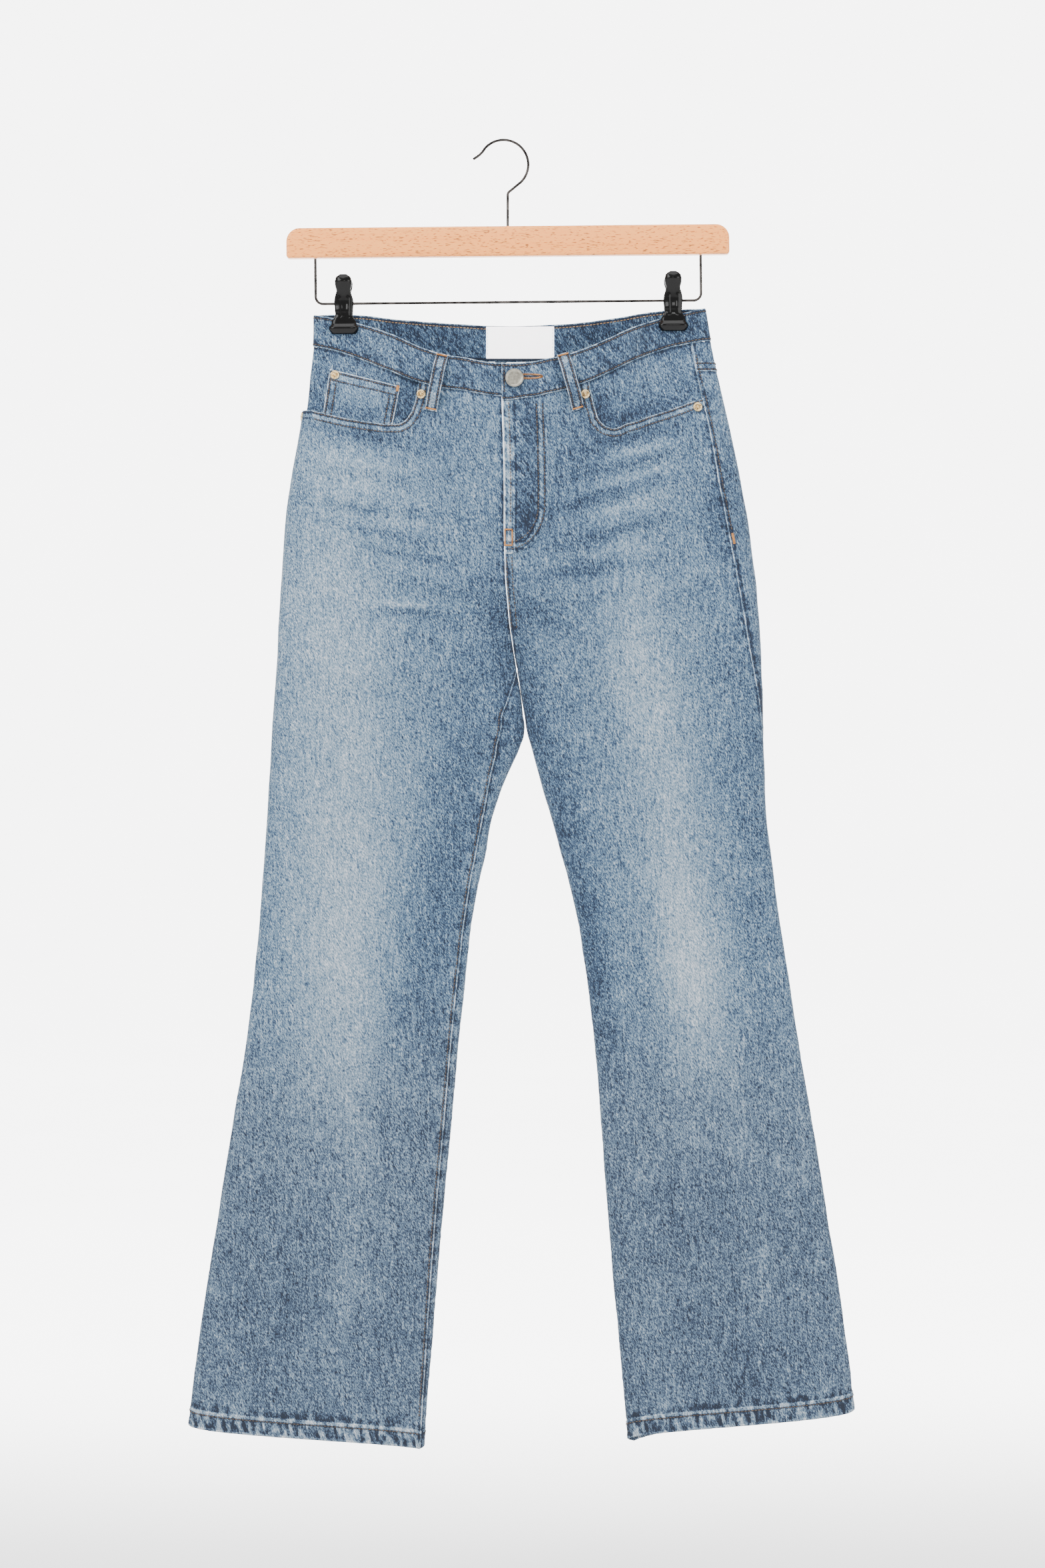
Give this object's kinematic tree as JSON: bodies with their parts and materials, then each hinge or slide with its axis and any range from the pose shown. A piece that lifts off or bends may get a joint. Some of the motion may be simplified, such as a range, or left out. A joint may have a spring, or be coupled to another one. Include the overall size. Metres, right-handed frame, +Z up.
{
  "type": "bootcut jeans on a clip hanger",
  "caption": "Washed denim jeans with flared lower legs, hung flat by the waistband from a wooden clip hanger.",
  "frame": {"origin": "the point where the hanger hangs: the underside of the top of the hook's wire, midway through the wire's thickness", "axes": "+Z up; the jeans' front faces -Y; +X is the wearer's left side"},
  "size_m": [0.6393, 0.0609, 1.257],
  "materials": {
    "denim": "washed light blue cotton denim, faded on the thighs and knees, with darker seams",
    "denim_inner": "less faded blue cotton denim",
    "label": "plain white woven tape, bare",
    "button": "tumbled old nickel",
    "rivet": "polished copper brass with worn edges",
    "beech": "clear lacquered pale beech, satin",
    "wire": "bright plated steel wire",
    "clip": "glossy black coating"
  },
  "bodies": {
    "root": {"front_right": "denim", "front_left": "denim", "back_right": "denim", "back_left": "denim", "yoke_right": "denim", "yoke_left": "denim", "waistband": "denim", "pocket_facing_right": "denim_inner", "pocket_facing_left": "denim_inner", "coin_pocket": "denim", "fly_placket": "denim", "belt_loop_front_right": "denim", "belt_loop_front_left": "denim", "belt_loop_back_right": "denim", "belt_loop_back_left": "denim", "belt_loop_back_centre": "denim", "back_pocket_right": "denim", "back_pocket_left": "denim", "label": "label", "waist_button": "button", "rivet_coin_pocket": "rivet", "rivet_front_right_inner": "rivet", "rivet_front_right_outer": "rivet", "rivet_front_left_inner": "rivet", "rivet_front_left_outer": "rivet", "hanger_bar": "beech", "hanger_hook": "wire", "hanger_rail": "wire", "clip_right_front": "clip", "clip_right_back": "clip", "clip_right_spring": "wire", "clip_left_front": "clip", "clip_left_back": "clip", "clip_left_spring": "wire"}
  },
  "joints": []
}
